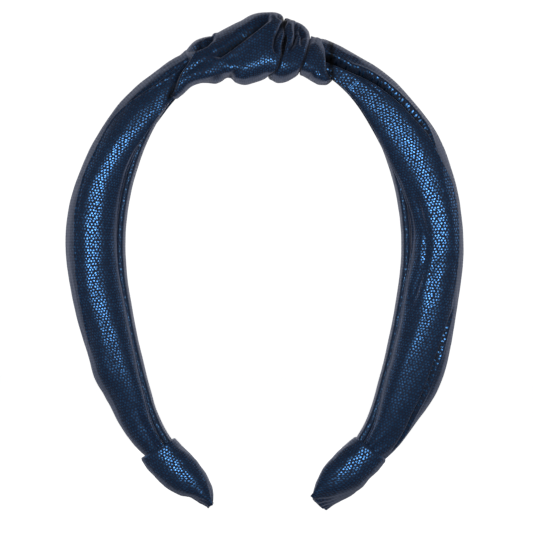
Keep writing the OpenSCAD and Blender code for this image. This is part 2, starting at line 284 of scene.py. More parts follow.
def foil_dots():
    """Foil dots printed on cloth: two lattices that interlock, each dot a little out of place."""
    tree = bpy.data.node_groups.new("foil_dots", "ShaderNodeTree")
    for label, kind in (("Cloth", "Vector"), ("Pitch", "Float"), ("Jitter", "Float")):
        tree.interface.new_socket(label, in_out="INPUT", socket_type="NodeSocket" + kind)
    for label in ("Dot", "Dome", "Shade"):
        tree.interface.new_socket(label, in_out="OUTPUT", socket_type="NodeSocketFloat")
    enter, leave = tree.nodes.new("NodeGroupInput"), tree.nodes.new("NodeGroupOutput")
    flat, pitch, jitter = (enter.outputs[k] for k in ("Cloth", "Pitch", "Jitter"))

    def number(operation, *values):
        return made(tree, "Math", values, operation=operation)

    def vector(operation, *values, output=0):
        return made(tree, "VectorMath", values, output, operation=operation)

    tall = number("MULTIPLY", pitch, math.sqrt(3))
    cell = made(tree, "CombineXYZ", (pitch, tall, 1.0))
    shares = vector("DIVIDE", flat, cell)
    found = []
    for offset in (0.0, 0.5):
        shifted = vector("ADD", shares, (offset, offset, offset * 0.2))
        seeded = vector("ADD", vector("FLOOR", shifted), (offset * 250, 7.5, 3.5))
        chance = made(tree, "TexWhiteNoise", (seeded,), "Color", noise_dimensions="3D")
        inside = vector("SUBTRACT", vector("FRACTION", shifted), (0.5, 0.5, 0.0))
        inside = vector("MULTIPLY", inside, cell)
        nudge = vector("SUBTRACT", chance, (0.5, 0.5, 0.5))
        push = made(tree, "VectorMath", {0: nudge, "Scale": number("MULTIPLY", jitter, pitch)},
                    operation="SCALE")
        level = vector("MULTIPLY", vector("SUBTRACT", inside, push), (1.0, 1.0, 0.0))
        reach = vector("LENGTH", level, output="Value")
        found.append((number("DIVIDE", reach, pitch), chance.node.outputs["Value"]))
    (near_a, shade_a), (near_b, shade_b) = found
    nearest = number("MINIMUM", near_a, near_b)
    first = number("LESS_THAN", near_a, near_b)
    shade = number("ADD", number("MULTIPLY", shade_a, first),
                   number("MULTIPLY", shade_b, number("SUBTRACT", 1.0, first)))
    dot, dome = (made(tree, "MapRange", (nearest, rim, middle, 0.0, 1.0),
                      interpolation_type="SMOOTHSTEP")
                 for rim, middle in ((0.35, 0.21), (0.5, 0.08)))
    feed(tree, leave, {"Dot": dot, "Dome": dome, "Shade": shade})
    return tree


dots_group = foil_dots()
DOT_PITCH, DOT_JITTER = 1.17, 0.34
# Painted sheen: the grey-blue that the cloth is coloured where it is seen edge on.
PAINTED_SHEEN_COLOUR = (0.34, 0.40, 0.60, 1)


def foil_cloth(name, ground, foil, foil_rough, sheen, with_painted_shade=False):
    """Navy cloth with foil dots: matt ground, glossy domed dots, a fine weave and a soft sheen.
    Painted shade darkens it in folds and under edges. Edge on, a painted sheen turns it grey."""
    material, tree, cloth = principled(name)

    def ranged(value, low, high, at_low, at_high):
        return made(tree, "MapRange", (value, low, high, at_low, at_high))

    def times(a, b):
        return made(tree, "Math", (a, b), operation="MULTIPLY")

    def mottle(scale):
        return made(tree, "TexNoise", {"Vector": flat, "Scale": scale, "Detail": 3}, "Fac",
                    noise_dimensions="2D")

    def mixed(share, a, b, **settings):
        return made(tree, "Mix", {0: share, "A": a, "B": b}, "Result", data_type="RGBA",
                    **settings)

    flat = made(tree, "UVMap", uv_map="cloth")
    dots = made(tree, "Group", {"Cloth": flat, "Pitch": DOT_PITCH, "Jitter": DOT_JITTER},
                node_tree=dots_group).node.outputs
    weave, wear_and_painted_shade = mottle(3.2), mottle(0.11)
    # Painted shade from the mesh dims the ground, foil, weave, painted sheen and real sheen.
    painted_shade = made(tree, "Attribute", output="Fac", attribute_name="painted_shade")
    painted_shade_factor = ranged(painted_shade, 0.0, 1.0, 1.0, 0.06)
    fresh = ranged(dots["Shade"], 0.0, 1.0, 0.55, 1.15)
    foil_tone_and_shade = times(ranged(wear_and_painted_shade, 0.3, 0.7, 0.8, 1.1), painted_shade_factor)
    weave_and_shade = times(ranged(weave, 0.3, 0.7, 0.7, 1.3), painted_shade_factor)
    colour = mixed(dots["Dot"], mixed(1.0, ground, weave_and_shade, blend_type="MULTIPLY"),
                   mixed(1.0, foil, times(fresh, foil_tone_and_shade), blend_type="MULTIPLY"))
    # Painted sheen: grey-blue mixed into the colour, with less metal, where the surface is seen
    # edge on.
    edge_on = made(tree, "LayerWeight", (0.5,), "Facing")
    painted_sheen = times(ranged(edge_on, 0.50, 0.88, 0.0, 0.92), painted_shade_factor)
    relief = made(tree, "Math", (weave, 0.12, dots["Dome"]), operation="MULTIPLY_ADD")
    feed(tree, cloth, {
        "Base Color": mixed(painted_sheen, colour, PAINTED_SHEEN_COLOUR),
        "Metallic": times(dots["Dot"], ranged(painted_sheen, 0.0, 0.6, 0.92, 0.0)),
        "Roughness": ranged(dots["Dot"], 0.0, 1.0, 0.7, foil_rough),
        "IOR": 1.5,
        "Specular IOR Level": 0.35,
        "Sheen Weight": ranged(painted_shade, 0.0, 1.0, sheen, 0.02) if with_painted_shade else sheen,
        "Sheen Roughness": 0.5,
        "Sheen Tint": (0.66, 0.66, 0.82, 1),
        "Normal": made(tree, "Bump", {"Strength": 0.22, "Distance": 0.00012, "Height": relief}),
    })
    return material


NAVY = (0.0115, 0.028, 0.074, 1)
FOIL = (0.062, 0.20, 0.46, 1)
band_cloth = foil_cloth("band_cloth", NAVY, (0.04, 0.10, 0.2, 1), 0.36, 0.2)

BAND_HALF = 1.55                 # half the thickness of the covered core
BAND_END = CORE_END + 0.6
SHOULDER_S = CROWN_R * math.radians(CROWN_TURN)
CROWN_HALF_W, TIP_HALF_W = 13.65, 5.65


def band_half_width(s):
    """Half the covered core's width: even over the crown, then narrower down to the tip."""
    z = np.interp(np.abs(s), line_s, line_z)
    top, tip = (np.interp(v, line_s, line_z) for v in (SHOULDER_S, CORE_END))
    share = np.clip((top - z) / (top - tip), 0, 1)
    return CROWN_HALF_W + (TIP_HALF_W - CROWN_HALF_W) * share


def inner_band(name, side, start):
    """A rounded flat tube along the core, with the lap of the cloth down its inner face."""
    lengths = np.linspace(start, BAND_END, 300)
    cols = 72
    turn = np.linspace(0, math.tau, cols, endpoint=False)
    rows, cloth = [], []
    for s in lengths:
        closing = min(1, (BAND_END - s) / 6)
        half_w = band_half_width(s) * math.sqrt(max(0.02, 1 - (1 - closing) ** 2))
        y = -half_w * np.sign(np.cos(turn)) * np.abs(np.cos(turn)) ** 0.42
        n = BAND_HALF * np.sign(np.sin(turn)) * np.abs(np.sin(turn)) ** 0.62
        inner = n < 0
        lap = 0.28 / (1 + np.exp(-(y + 1.2 + 0.3 * math.sin(s / 9)) / 0.25))
        lap = lap * np.clip((9 - y) / 6, 0, 1) * np.clip((half_w - np.abs(y)) / 2, 0, 1)
        seen = np.clip((abs(s) - 50) / 15, 0.2, 1)         # smooth under the sleeve's own cloth
        n = np.where(inner, n - lap * seen, n)
        ripple = [0.10 * seen * noise.noise((s / 7, v / 5, 3.0 * side)) for v in y]
        rows.append(on_band(side, s, y, n + np.sign(n) * np.array(ripple)))
        around = lengths_along(np.concatenate([np.stack([y, n], -1), [[y[0], n[0]]]]))
        cloth.append(np.stack([around, np.full(cols + 1, s)], -1))
    return cloth_piece(name, np.array(rows), np.array(cloth), band_cloth)


def bend_with(piece):
    """Bakes the piece's place into its mesh; nothing here bends it."""
    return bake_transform(piece)


band_right = inner_band("inner_band_right", 1, -15.0)
band_left = inner_band("inner_band_left", -1, 15.4)
bend_with(band_right)
bend_with(band_left)
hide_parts("sock_right", "sock_crown")
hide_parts("sock_left")

# ---- Padded sleeves ----
# A tube of the dotted cloth over a strip of soft foam, glued to the outer face of the covered
# core. Pleats gathered under the knot run down each sleeve and fade out beside the temple.

sleeve_cloth = foil_cloth("sleeve_cloth", NAVY, FOIL, 0.31, 0.25, with_painted_shade=True)

# By length from the crown, as distances out from the core: height is the sleeve's outer edge,
# front its foremost line, and inner its edge beside the core. square says how boxy its outer
# corner is.
SLEEVES = {
    "left": {
        "side": -1,
        "height": ((22, 8.0), (30, 9.4), (36, 10.3), (42, 12.1), (48, 13.9), (54, 15.1),
                   (60, 16.2), (66, 17.4), (72, 18.3), (78, 19.2), (84, 19.9), (96, 20.2),
                   (108, 19.5), (120, 18.7), (132, 17.4), (138, 17.0), (144, 15.7),
                   (150, 14.2), (156, 12.9), (162, 11.5), (168, 9.7), (177, 8.0)),
        "front": ((22, 0.6), (33, 1.3), (41, 1.8), (48, 3.5), (54, 4.6), (62, 6.8), (70, 8.5),
                  (76, 9.9), (82, 10.1), (88, 9.6), (98, 8.9), (107, 9.2), (116, 8.8),
                  (127, 7.4), (137, 5.4), (146, 4.2), (153, 3.6), (160, 3.8), (177, 4.2)),
        "inner": ((22, -1.75), (44, -1.7), (53, -0.5), (60, 0.2), (150, 0.3), (158, 0.8),
                  (163, 1.2), (177, 1.3)),
        "square": ((22, 2.2), (60, 2.5), (85, 2.9), (120, 3.0), (150, 2.6), (177, 2.2)),
    },
    "right": {
        "side": 1,
        "height": ((14, 8.4), (22, 8.9), (30, 9.6), (36, 11.3), (42, 13.0), (48, 14.3),
                   (54, 15.9), (60, 17.4), (66, 18.2), (72, 18.6), (84, 19.2), (96, 19.5),
                   (108, 19.2), (126, 19.3), (138, 18.9), (144, 18.0), (150, 16.0),
                   (156, 13.6), (162, 11.8), (168, 10.0), (177, 8.2)),
        "front": ((14, 1.0), (26, 1.9), (32, 3.6), (38.75, 4.9), (45.75, 6.7), (52.75, 8.2),
                  (60, 10.1), (67, 11.4), (79, 11.6), (91, 12.2), (98, 11.2), (104, 10.4),
                  (110, 10.4), (118, 8.9), (126, 7.5), (135.5, 6.6), (145, 5.3), (153, 4.0),
                  (160, 3.6), (177, 4.0)),
        "inner": ((14, -1.75), (59, -1.75), (66, -1.2), (77, 0.3), (84, 1.2), (92, 1.5),
                  (98, 1.0), (105, 0.3), (120, 0.1), (152, 0.2), (160, 0.9), (177, 1.3)),
        "square": ((14, 2.2), (60, 2.4), (85, 2.8), (120, 2.8), (150, 2.6), (177, 2.2)),
    },
}
SLEEVE_DEPTH = ((14, 12.4), (24, 12.8), (32, 13.8), (40, 15.4), (50, 17.0), (60, 18.0),
                (80, 18.8), (95, 19.0), (115, 18.5), (135, 16.8), (150, 13.9), (160, 11.2),
                (168, 9.2), (177, 7.4))
SLEEVE_ROWS, SIDE_COLS, BED_COLS = 230, 100, 30
SEAT_MARGIN = 0.6                # how far the sleeve reaches past the covered core
BED_N = 1.72                     # the glue line on the covered core's outer face
SLEEVE_GIVE = 0.8                # the most that the padding pushes the cloth out
SHADED_FOLD_DEPTH = 1.3                 # folds deeper than this get painted shade


def through(points, at):
    """A smooth curve through (position, value) points."""
    xs, ys = np.array(points, float).T
    slope = np.gradient(ys, xs)
    i = np.clip(np.searchsorted(xs, at) - 1, 0, len(xs) - 2)
    h = xs[i + 1] - xs[i]
    t = np.clip((at - xs[i]) / h, 0, 1)
    return ((2 * t**3 - 3 * t**2 + 1) * ys[i] + (t**3 - 2 * t**2 + t) * h * slope[i]
            + (3 * t**2 - 2 * t**3) * ys[i + 1] + (t**3 - t**2) * h * slope[i + 1])


def evened(points, count):
    """The same line with count points at even spacing."""
    run = lengths_along(points)
    at = np.linspace(0, run[-1], count)
    return np.stack([np.interp(at, run, points[:, k]) for k in range(points.shape[1])], -1)


def rounded_corner(angle, power):
    """How far a quarter of a rounded box reaches at each angle: 2 is an ellipse."""
    return (np.abs(np.cos(angle)) ** power + np.abs(np.sin(angle)) ** power) ** (-1 / power)


def sleeve_half(s, spec):
    """One half of a sleeve's section: from the outer edge over the broad face to the core."""
    top, face = through(spec["height"], s), through(spec["front"], s)
    low, deep = through(spec["inner"], s), through(SLEEVE_DEPTH, s)
    seat = band_half_width(s) + SEAT_MARGIN
    a = np.linspace(0, math.pi / 2, 160)
    far = rounded_corner(a, through(spec["square"], s))
    outer = np.stack([face + (top - face) * far * np.cos(a), deep * far * np.sin(a)], -1)
    a = a[1:]
    far = rounded_corner(a, 2.2)
    inner = np.stack([face - (face - low) * far * np.sin(a),
                      seat + (deep - seat) * far * np.cos(a)], -1)
    return evened(np.concatenate([outer, inner]), SIDE_COLS)


def ramp(s, start, end, ease):
    """0 outside start to end, and 1 inside, with soft ends of length ease."""
    rise = np.clip((s - start) / ease + 0.5, 0, 1)
    fall = np.clip((end - s) / ease + 0.5, 0, 1)
    t = np.minimum(rise, fall)
    return t * t * (3 - 2 * t)


def fold(x, width, depth, lip, lip_at):
    """Across a fold: a groove at 0, and a rolled lip beside it."""
    return (-depth * np.exp(-((x / width) ** 2))
            + lip * np.exp(-(((x - lip_at) / (width * 1.3)) ** 2)))


def to_line(x, z, line):
    """Distance from points to a line drawn on the face, and the share of the line."""
    best = np.full(x.shape, 1e9)
    share = np.zeros(x.shape)
    line = np.array(line, float)
    run = lengths_along(line)
    for k in range(len(line) - 1):
        a, d = line[k], line[k + 1] - line[k]
        t = np.clip(((x - a[0]) * d[0] + (z - a[1]) * d[1]) / (d @ d), 0, 1)
        gap = np.hypot(x - a[0] - t * d[0], z - a[1] - t * d[1])
        side = np.sign((x - a[0]) * d[1] - (z - a[1]) * d[0])
        closer = gap < np.abs(best)
        best = np.where(closer, gap * side, best)
        share = np.where(closer, (run[k] + t * (run[k + 1] - run[k])) / run[-1], share)
    return best, share


# Folds that run along a sleeve: (s, n) points of the line on the broad face, where it starts and
# ends and over what length it fades, the groove's width and depth, the height and place of its
# lip, how far the cloth beyond falls away, and the share of all this on the back face.
SLEEVE_FOLDS = {
    "left": (
        (((22, 2.4), (29, 4.0), (36.5, 5.7), (42.5, 8.0), (47, 10.5), (53.5, 13.0),
          (58.5, 14.0), (65, 14.7), (70, 15.4), (75, 16.1), (80, 16.5), (96, 16.4),
          (116, 16.3), (128, 16.3), (140, 16.0)),
         20, 127, 8, 0.45, -0.5, 0.0, 0.9, 2.7, 0.8),
        (((22, 6.4), (30, 7.6), (38, 9.0), (46, 12.2), (56, 15.0)),
         20, 46, 10, 0.6, 0.7, 0.2, 0.9, 0.0, 1.0),
        (((22, 1.6), (30, 2.6), (36, 3.2)), 16, 33, 6, 0.8, 1.2, 0.2, 1.0, 0.0, 0.4),
        (((150, 4.2), (158, 3.6), (166, 3.3), (174, 3.3)),
         153, 180, 8, 0.7, 1.1, 0.3, 1.0, 0.0, 0.5),
    ),
    "right": (
        (((14, 2.2), (22.75, 3.6), (29.5, 4.7), (35.25, 6.6), (40.75, 8.7), (48.75, 11.6),
          (54.75, 13.4), (59, 14.9), (66, 16.0)),
         8, 62, 8, 1.0, 5.5, 0.5, -1.8, 0.0, 0.85),
        (((56, 13.9), (63.5, 14.6), (69, 15.5), (74.75, 17.0), (82, 17.6), (100, 17.3),
          (112, 17.0)),
         60, 110, 12, 0.45, -0.35, 0.0, 0.9, 1.7, 0.8),
        (((108, 17.6), (116, 17.3), (122, 16.4), (133.5, 15.0), (144, 13.9), (152, 12.4),
          (160.5, 11.2), (168, 9.8)),
         118, 161, 10, 0.6, 1.5, 0.35, -1.1, 0.0, 0.7),
        (((76, 3.2), (84, 4.4), (92, 5.6), (100, 5.4), (108, 3.8), (116, 2.0)),
         78, 112, 14, 1.7, 1.1, 0.4, -2.6, 0.0, 0.3),
        (((20, 3.0), (34, 4.2), (46, 7.0)), 16, 42, 10, 0.7, 0.35, 0.15, 1.0, 0.0, 1.0),
    ),
}
# Soft dents and swells on the broad face: s, n, length, width and height
SLEEVE_SWELLS = {
    "left": ((74, 3.6, 9, 2.4, -0.4), (124, 15.0, 6, 3.0, -0.5), (139, 14.0, 5, 3.5, 0.5),
             (146, 12.5, 5, 3.0, -0.5), (100, 12.5, 14, 3.0, 0.3), (160, 8.0, 6, 2.5, 0.35)),
    "right": ((98, 4.6, 7, 1.8, 0.8), (88, 3.0, 7, 1.8, -0.7), (112, 3.0, 8, 2.0, -0.7),
              (133, 17.0, 9, 1.8, 0.9), (150, 7.5, 7, 3.0, 0.3), (70, 13.0, 10, 2.5, -0.3)),
}
# Where the knot's edge casts a painted shadow on each sleeve's front, in (x, z)
KNOT_EDGE_SHADOWS = {
    "left": ((-17.6, 16.0), (-23.0, 10.2), (-26.0, 6.4), (-29.8, 0.6), (-33.2, -5.6)),
    "right": ((24.1, 14.5), (24.0, 6.0), (24.4, -1.0)),
}


def outward(points, middle, round_cols=True):
    """Unit normals of a grid of points that closes round its columns, facing away from middle."""
    down = np.gradient(points, axis=0)
    if round_cols:
        over = np.roll(points, -1, 1) - np.roll(points, 1, 1)
    else:
        over = np.gradient(points, axis=1)
    n = np.cross(down, over)
    if (n * (points - middle)).sum() < 0:
        n = -n
    return n / np.maximum(np.linalg.norm(n, axis=2, keepdims=True), 1e-9)


def eased_by_cloth(grid, held_cols):
    """A cloth simulation on a coarse copy of the cover, held at its ends and along the core, and
    blown up by the padding. Gives how far each point of the fine grid moves."""
    rows = np.unique(np.append(np.arange(0, grid.shape[0], 3), grid.shape[0] - 1))
    cols = np.arange(0, grid.shape[1], 4)
    coarse = grid[np.ix_(rows, cols)]
    count = len(cols)
    scale = 0.01                 # the solver works on a model ten times the size
    last_moment = 20
    faces = [(i * count + j, i * count + (j + 1) % count,
              (i + 1) * count + (j + 1) % count, (i + 1) * count + j)
             for i in range(len(rows) - 1) for j in range(count)]
    mesh = bpy.data.meshes.new("trial")
    mesh.from_pydata((coarse.reshape(-1, 3) * scale).tolist(), [], faces)
    trial = placed("trial", mesh)
    held = trial.vertex_groups.new(name="held")
    pinned = [i * count + j for i in range(len(rows)) for j in range(count)
              if i < 2 or i > len(rows) - 3 or held_cols[cols[j]]]
    held.add(pinned, 1.0, "REPLACE")
    cloth = trial.modifiers.new("cloth", "CLOTH")
    fabric = cloth.settings
    fabric.quality = 6
    fabric.mass = 0.3
    fabric.tension_stiffness = fabric.compression_stiffness = 25
    fabric.shear_stiffness = 8
    fabric.bending_stiffness = 0.6
    fabric.use_pressure = True
    fabric.uniform_pressure_force = 4
    fabric.vertex_group_mass = "held"
    fabric.shrink_min = -0.025
    fabric.effector_weights.gravity = 0
    cloth.collision_settings.use_collision = False
    cloth.point_cache.frame_start, cloth.point_cache.frame_end = 1, last_moment
    scene = bpy.context.scene
    for moment in range(1, last_moment + 1):
        scene.frame_set(moment)
    done = trial.evaluated_get(bpy.context.evaluated_depsgraph_get())
    after = np.array([v.co for v in done.data.vertices]).reshape(coarse.shape) / scale
    scene.frame_set(1)
    bpy.data.objects.remove(trial)
    moved = after - coarse
    size = np.linalg.norm(moved, axis=2, keepdims=True)
    moved = moved * SLEEVE_GIVE * np.tanh(size / SLEEVE_GIVE) / np.maximum(size, 1e-9)
    wide = np.concatenate([moved, moved[:, :1]], 1)
    at = np.append(cols, grid.shape[1])
    fine = np.stack([[np.interp(np.arange(grid.shape[1]), at, row[:, k]) for row in wide]
                     for k in range(3)], -1)
    return np.stack([[np.interp(np.arange(grid.shape[0]), rows, fine[:, j, k])
                      for j in range(grid.shape[1])] for k in range(3)], -1).transpose(1, 0, 2)


def sleeve_relief(which, s, half):
    """How far half a section moves out for its folds and swells, in front and on the back, and
    how much painted shade its deep folds get."""
    arc = lengths_along(half)
    face = through(SLEEVES[which]["front"], s)
    beyond_face = arc <= arc[np.argmax(half[:, 1])]
    front, back, painted_shade = np.zeros((3, SIDE_COLS))
    for line, first, last, ease, width, depth, lip, lip_at, fall, on_back in SLEEVE_FOLDS[which]:
        weight = ramp(s, first, last, ease)
        if weight == 0:
            continue
        n = through(line, s)
        part = beyond_face if n >= face else ~beyond_face
        here = np.interp(-n, -half[part, 0], arc[part])
        x = arc - here
        groove = fold(x, width, depth, lip, lip_at)
        if fall:
            beyond = np.clip(-x, 0, None)
            groove -= fall * (1 - np.exp(-beyond / 0.8)) * np.clip(arc / here, 0, 1)
        # a deep fold's groove gets painted shade
        if depth > SHADED_FOLD_DEPTH:
            painted_shade += weight * min(1, depth / 3) * np.exp(-((x / width / 1.4) ** 2))
        front += weight * groove
        back += weight * on_back * groove
    for at_s, at_n, long, wide, high in SLEEVE_SWELLS[which]:
        swell = high * np.exp(-((s - at_s) / long) ** 2 - ((half[:, 0] - at_n) / wide) ** 2)
        swell *= np.clip(arc / 4, 0, 1)
        front += swell
        back += 0.6 * swell
    return front, back, painted_shade


def padded_sleeve(which, start, end):
    """One sleeve between two lengths: its section, then its folds, swells and fine wrinkles."""
    spec = SLEEVES[which]
    side = spec["side"]
    bare = np.zeros(BED_COLS)
    grid, cloth, shift, painted_shade = [], [], [], []
    run = 0.0
    for s in np.linspace(start, end, SLEEVE_ROWS):
        half = sleeve_half(s, spec)
        peak = np.argmax(half[:, 1])
        seat = half[-1]
        bed = np.linspace(-1, 1, BED_COLS + 2)[1:-1]
        rise = np.clip(BED_N - (np.abs(bed) - 0.93) * 30, seat[0], BED_N)
        bed = np.stack([np.maximum(seat[0], rise), bed * seat[1]], -1)
        ring = np.concatenate([half * (1, -1), bed, half[::-1]])
        row = on_band(side, s, ring[:, 1], ring[:, 0])
        if grid:
            run += np.linalg.norm(row[peak] - grid[-1][peak_before])
        peak_before = peak
        around = lengths_along(np.concatenate([ring, ring[:1]]))
        front, back, wear_and_painted_shade = sleeve_relief(which, s, half)
        grid.append(row)
        cloth.append(np.stack([around - around[peak], np.full(len(around), run)], -1))
        shift.append(np.concatenate([front, bare, back[::-1]]))
        painted_shade.append(np.concatenate([wear_and_painted_shade, bare, wear_and_painted_shade[::-1]]))
    grid, cloth, shift, painted_shade = (np.array(v) for v in (grid, cloth, shift, painted_shade))
    glued = np.zeros(grid.shape[1], bool)
    glued[SIDE_COLS - 2:SIDE_COLS + BED_COLS + 2] = True
    grid = grid + eased_by_cloth(grid, glued)
    normals = outward(grid, grid.mean(1, keepdims=True))
    wrinkle = np.array([[0.16 * noise.noise((u / 5, v / 14, 7.0 + side))
                         + 0.07 * noise.noise((u / 2.2, v / 5, 20.0 + side))
                         for u, v in row[:-1]] for row in cloth])
    wrinkle[:, SIDE_COLS:SIDE_COLS + BED_COLS] = 0
    # Painted shadow cast by the knot's edge on the sleeve's front.
    gap, _ = to_line(grid[..., 0], grid[..., 2], KNOT_EDGE_SHADOWS[which])
    painted_shade += np.exp(-((gap / 1.1) ** 2)) * (grid[..., 1] < 0)
    grid = grid + normals * (shift + wrinkle)[:, :, None]
    return cloth_piece("sleeve_cloth_" + which, grid, cloth, sleeve_cloth, painted_shade=painted_shade)


for which, leg, start in (("left", "left_leg", 22.5), ("right", "right_leg", 14.5)):
    piece = padded_sleeve(which, start, 176.5)
    bend_with(piece)
    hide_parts("sleeve_" + which, "foam_" + which)

# ---- Knot ----
# The wide ends of the sleeves' cloth, pleated and wound round the band. A long pass climbs in
# front from the lower left to the peak, another lies behind it, and a centre wrap and a collar
# go round them on the right. A tuck holds the left end. All are tacked together underneath.

knot_cloth = foil_cloth("knot_cloth", NAVY, FOIL, 0.31, 0.25, with_painted_shade=True)

# Height of the knot over the core's middle, and depth below it, by turn from the crown
KNOT_TOP = ((-50, 6.5), (-39, 8.3), (-33, 8.4), (-28, 9.7), (-24, 9.7), (-19.5, 8.9),
            (-13.3, 10.0), (-8.2, 11.4), (-3.4, 13.2), (1.5, 13.9), (6, 13.7), (8.7, 12.5),
            (15.4, 10.8), (17.5, 9.6), (19.2, 7.9), (21.8, 8.6), (26.2, 7.2), (29, 6.2),
            (36, 4.0))
KNOT_LOW = ((-51, -1.0), (-49, -2.3), (-46.5, -2.9), (-39, -3.2), (-34.5, -4.1), (-31.5, -5.3),
            (-28, -6.9), (-24, -7.1), (-20, -7.0), (-17.6, -8.5), (-15, -10.1), (-12, -10.9),
            (-7, -10.8), (-2.4, -10.3), (3, -9.3), (5.5, -9.7), (7.8, -10.2), (11.5, -10.0),
            (15, -8.9), (17.4, -7.4), (19.4, -6.1), (21, -5.7), (24, -5.7), (28, -6.0),
            (31, -5.9), (33.6, -5.2), (35.2, -4.5), (36.4, -3.5))
KNOT_HALF_W = ((-50, 16.8), (-40, 18.4), (-30, 20.0), (-15, 22.0), (-3, 22.6), (8, 22.3),
               (18, 20.8), (26, 19.4), (36, 18.2))
# The knot's section: share of the half width and share of the height, from the crest down the
# front, and round underneath to the back
SECTION = ((0.0, 1.0), (-0.34, 0.975), (-0.62, 0.86), (-0.82, 0.69), (-0.94, 0.46),
           (-1.0, 0.27), (-0.955, 0.13), (-0.80, 0.05), (-0.50, 0.005), (0.0, 0.0),
           (0.50, 0.005), (0.82, 0.07), (0.96, 0.20), (1.0, 0.38), (0.93, 0.56),
           (0.78, 0.74), (0.56, 0.90), (0.28, 0.98))


def closed_curve(points, count):
    """A smooth closed curve through points, sampled evenly by length."""
    p = np.array(points, float)
    before, after, later = np.roll(p, 1, 0), np.roll(p, -1, 0), np.roll(p, -2, 0)
    t = np.linspace(0, 1, 24, endpoint=False)[None, :, None]
    p0, p1, p2, p3 = (v[:, None, :] for v in (before, p, after, later))
    dense = 0.5 * (2 * p1 + (p2 - p0) * t + (2 * p0 - 5 * p1 + 4 * p2 - p3) * t**2
                   + (3 * p1 - p0 - 3 * p2 + p3) * t**3)
    dense = dense.reshape(-1, 2)
    return evened(np.concatenate([dense, dense[:1]]), count + 1)[:-1]


ROUND = 220                      # points round the section
section = closed_curve([(w * 22, u * 24) for w, u in SECTION], ROUND) / (22, 24)
SEAM_AT = int(np.argmin(np.hypot(section[:, 0], section[:, 1])))   # the underside's middle


def knot_place(turn, y, n):
    """A point of the knot, by turn from the crown, depth and height over the core's middle."""
    a = np.radians(turn)
    r = CROWN_R + n
    return np.stack([r * np.sin(a), y, knot_centre_z + r * np.cos(a)], -1)


# Pleats in the knot's face: the line in (x, z), its width, depth, lip, the lip's place, and how
# much of it shows at its start and at its end
FACE_PLEATS = (
    (((1.0, 22.3), (-4.3, 18.9), (-8.3, 15.9), (-12.2, 12.5), (-16.6, 9.5)),
     1.15, 3.4, 0.6, -2.4, 0.8, 0.6),
    (((-0.4, 20.3), (-5.3, 15.9), (-10.2, 12.5), (-15.2, 9.0)), 0.75, 1.6, 0.3, 1.6, 0.5, 0.8),
    (((7.4, 20.8), (5.9, 18.4), (4.7, 15.9), (4.0, 12.5), (4.4, 10.8)), 0.75, 2.8, 0.4, -1.5,
     0.7, 0.6),
    (((7.6, 15.4), (6.9, 12.0), (6.6, 9.6)), 0.6, 1.6, 0.2, 1.3, 1.0, 0.5),
    (((11.5, 19.9), (11.8, 16.4), (11.0, 13.5), (9.0, 10.5)), 0.8, 2.6, 0.4, 1.6, 0.6, 0.3),
    (((13.0, 18.9), (14.2, 15.9), (13.5, 13.5)), 0.8, 2.0, 0.3, 1.3, 0.5, 0.5),
    (((5.4, 23.4), (8.2, 22.1)), 0.8, 1.7, 0.2, 1.2, 0.9, 0.9),
    (((-18.4, 15.4), (-20.4, 13.4), (-23.9, 11.7), (-26.3, 11.2)), 0.9, 1.9, 0.4, 1.6, 0.9, 0.5),
    (((-12.4, 0.5), (-10.5, 2.8), (-8.4, 4.0)), 0.9, 1.2, 0.2, 1.4, 1.0, 0.1),
    (((-19.5, -0.3), (-16.0, 1.6), (-12.5, 2.2)), 0.9, 0.5, 0.2, 1.4, 1.0, 0.1),
    (((16.0, 1.6), (18.5, 3.2), (21.0, 3.8)), 0.9, 0.5, 0.2, 1.4, 0.8, 0.1),
    (((-29.0, 1.6), (-24.0, 5.2), (-20.0, 7.6)), 0.8, 0.4, 0.2, -1.4, 0.3, 0.6),
)
BACK_PLEATS = (
    (((4.0, 23.4), (-3.0, 18.8), (-9.0, 12.0), (-14.0, 6.0), (-18.0, 3.0)), 1.2, 2.2, 0.5, 2.0,
     0.9, 0.3),
    (((-2.0, 22.6), (-10.0, 16.8), (-17.0, 11.0), (-22.0, 6.5)), 1.0, 1.4, 0.4, 1.8, 0.8, 0.4),
    (((9.5, 22.8), (10.5, 16.0), (9.6, 9.0), (8.0, 4.0)), 0.9, 1.6, 0.4, 1.6, 0.9, 0.4),
    (((13.4, 19.4), (14.4, 13.0), (13.6, 7.0)), 0.8, 1.2, 0.3, 1.4, 0.8, 0.3),
    (((-12.0, 0.6), (-9.0, 4.0), (-4.0, 6.0)), 0.9, 0.9, 0.2, 1.4, 1.0, 0.1),
)


def pleated(grid):
    """How far each point of a knot piece moves in or out for its pleats, and their painted shade.
    """
    x, y, z = grid[..., 0], grid[..., 1], grid[..., 2]
    shift, painted_shade = np.zeros(x.shape), np.zeros(x.shape)
    for pleats, facing in ((FACE_PLEATS, y < 0), (BACK_PLEATS, y >= 0)):
        facing = facing * np.clip((np.abs(y) - 1) / 5, 0, 1)
        for line, width, depth, lip, lip_at, first, last in pleats:
            gap, share = to_line(x, z, line)
            weight = facing * np.interp(share, [0, 0.5, 1], [first, 1, last])
            shift += weight * fold(gap, width, depth, lip, lip_at)
            # painted shade in the pleat's groove
            painted_shade += weight * min(1, depth / 2.4) * np.exp(-((gap / width / 0.85) ** 2))
    return shift, painted_shade


KNOT_MIDDLE_R = 47               # where a turn is measured as a length of cloth


